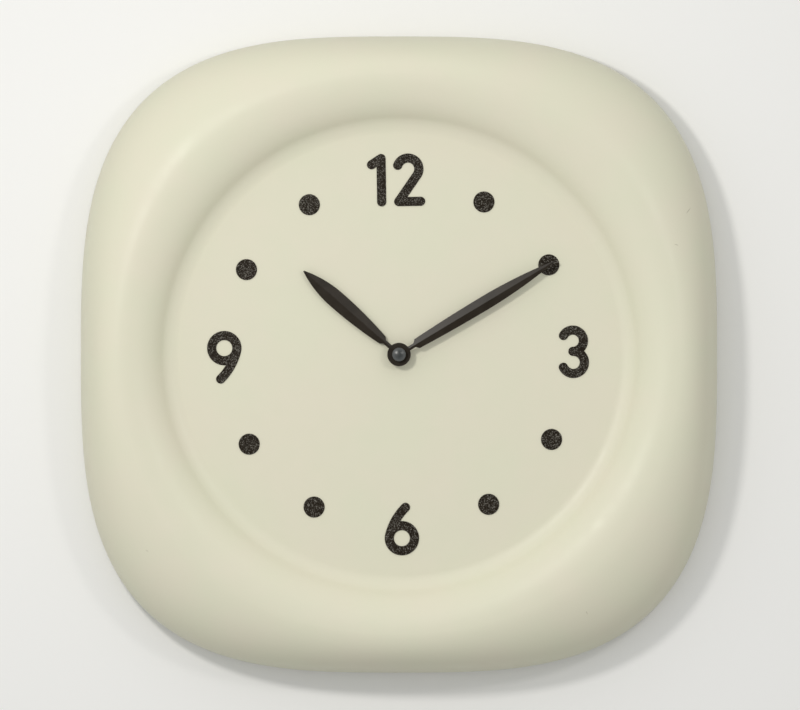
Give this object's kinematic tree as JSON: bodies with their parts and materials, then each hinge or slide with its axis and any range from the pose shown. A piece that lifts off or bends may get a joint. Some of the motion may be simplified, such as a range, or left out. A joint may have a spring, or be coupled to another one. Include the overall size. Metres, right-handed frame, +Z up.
{
  "type": "wall clock",
  "caption": "Soft square wall clock with a puffy cream rim, a sunk round dial with numerals and dots, leaf hands, a quartz movement and a screwed rear cover with a keyhole hanger.",
  "frame": {"origin": "centre of the hanger keyhole's round entry, on the rear face that lies on the wall", "axes": "+Z up, +Y from the clock into the wall, +X to the right as the dial is read"},
  "size_m": [0.3, 0.04, 0.3],
  "materials": {
    "shell_cream": "satin cream, faint orange peel",
    "cover_cream": "moulded cream, fine matt grain",
    "print_black": "grainy black print",
    "hand_black": "satin black paint on sheet",
    "brass": "turned",
    "steel": "zinc plated",
    "movement_black": "moulded, fine spark grain",
    "gear_white": "moulded",
    "magnet_grey": "ground",
    "iron": "stamped",
    "copper": "enamelled wire",
    "board_green": "lacquered",
    "resin_black": "gloss resin",
    "cell_wrap": "printed sleeve"
  },
  "bodies": {
    "case": {"case_shell": "shell_cream", "rear_cover": "cover_cream", "cover_screws": "steel", "movement_screws": "steel", "numeral_12": "print_black", "numeral_3": "print_black", "numeral_6": "print_black", "numeral_9": "print_black", "hour_dots": "print_black", "movement_housing": "movement_black", "movement_back": "movement_black", "train_plate": "gear_white", "stator": "iron", "coil_core": "iron", "coil_bobbin": "gear_white", "coil_winding": "copper", "circuit_board": "board_green", "quartz_crystal": "steel", "chip_cover": "resin_black", "battery_contact_positive": "steel", "battery_contact_negative": "steel"},
    "minute_hand": {"minute_hand": "hand_black", "minute_hand_collet": "brass", "hand_cap": "hand_black", "cannon_pinion": "gear_white"},
    "hour_hand": {"hour_hand": "hand_black", "hour_hand_collet": "brass", "hour_wheel": "gear_white"},
    "minute_wheel": {"minute_wheel": "gear_white"},
    "setting_knob": {"setting_knob": "gear_white"},
    "second_wheel": {"second_wheel": "gear_white"},
    "third_wheel": {"third_wheel": "gear_white"},
    "centre_wheel": {"centre_wheel": "gear_white"},
    "fifth_wheel": {"fifth_wheel": "gear_white"},
    "rotor": {"rotor_pinion": "gear_white", "rotor_magnet": "magnet_grey"},
    "battery": {"battery_cell": "cell_wrap"}
  },
  "joints": [
    {"name": "minute_hand_turn", "type": "hinge", "parent": "case", "child": "minute_hand", "pos_m": [0, -0.032, -0.085], "axis": [0, 1, 0], "continuous": true},
    {"name": "hour_hand_turn", "type": "hinge", "parent": "case", "child": "hour_hand", "pos_m": [0, -0.0285, -0.085], "axis": [0, 1, 0], "continuous": true},
    {"name": "minute_wheel_turn", "type": "hinge", "parent": "case", "child": "minute_wheel", "pos_m": [0.00945, -0.0202, -0.08333], "axis": [0, 1, 0], "continuous": true},
    {"name": "setting_knob_turn", "type": "hinge", "parent": "case", "child": "setting_knob", "pos_m": [0.01816, -0.005, -0.08739], "axis": [0, 1, 0], "continuous": true},
    {"name": "second_wheel_turn", "type": "hinge", "parent": "case", "child": "second_wheel", "pos_m": [0, -0.0151, -0.085], "axis": [0, 1, 0], "continuous": true},
    {"name": "third_wheel_turn", "type": "hinge", "parent": "case", "child": "third_wheel", "pos_m": [0.0051, -0.0163, -0.07617], "axis": [0, 1, 0], "continuous": true},
    {"name": "centre_wheel_turn", "type": "hinge", "parent": "case", "child": "centre_wheel", "pos_m": [0, -0.0175, -0.085], "axis": [0, 1, 0], "continuous": true},
    {"name": "fifth_wheel_turn", "type": "hinge", "parent": "case", "child": "fifth_wheel", "pos_m": [-0.00909, -0.0139, -0.07975], "axis": [0, 1, 0], "continuous": true},
    {"name": "rotor_turn", "type": "hinge", "parent": "case", "child": "rotor", "pos_m": [-0.0104, -0.0122, -0.07236], "axis": [0, 1, 0], "continuous": true},
    {"name": "battery_slide", "type": "slide", "parent": "case", "child": "battery", "axis": [0, 1, 0], "range_m": [0, 0.03]}
  ],
  "couplings": [
    {"joint": "hour_hand_turn", "follows": "minute_hand_turn", "ratio": 0.083333},
    {"joint": "minute_wheel_turn", "follows": "minute_hand_turn", "ratio": -0.33333},
    {"joint": "setting_knob_turn", "follows": "minute_hand_turn", "ratio": 1},
    {"joint": "third_wheel_turn", "follows": "second_wheel_turn", "ratio": -0.13333},
    {"joint": "centre_wheel_turn", "follows": "second_wheel_turn", "ratio": 0.016667},
    {"joint": "fifth_wheel_turn", "follows": "second_wheel_turn", "ratio": -6},
    {"joint": "rotor_turn", "follows": "second_wheel_turn", "ratio": 30}
  ]
}
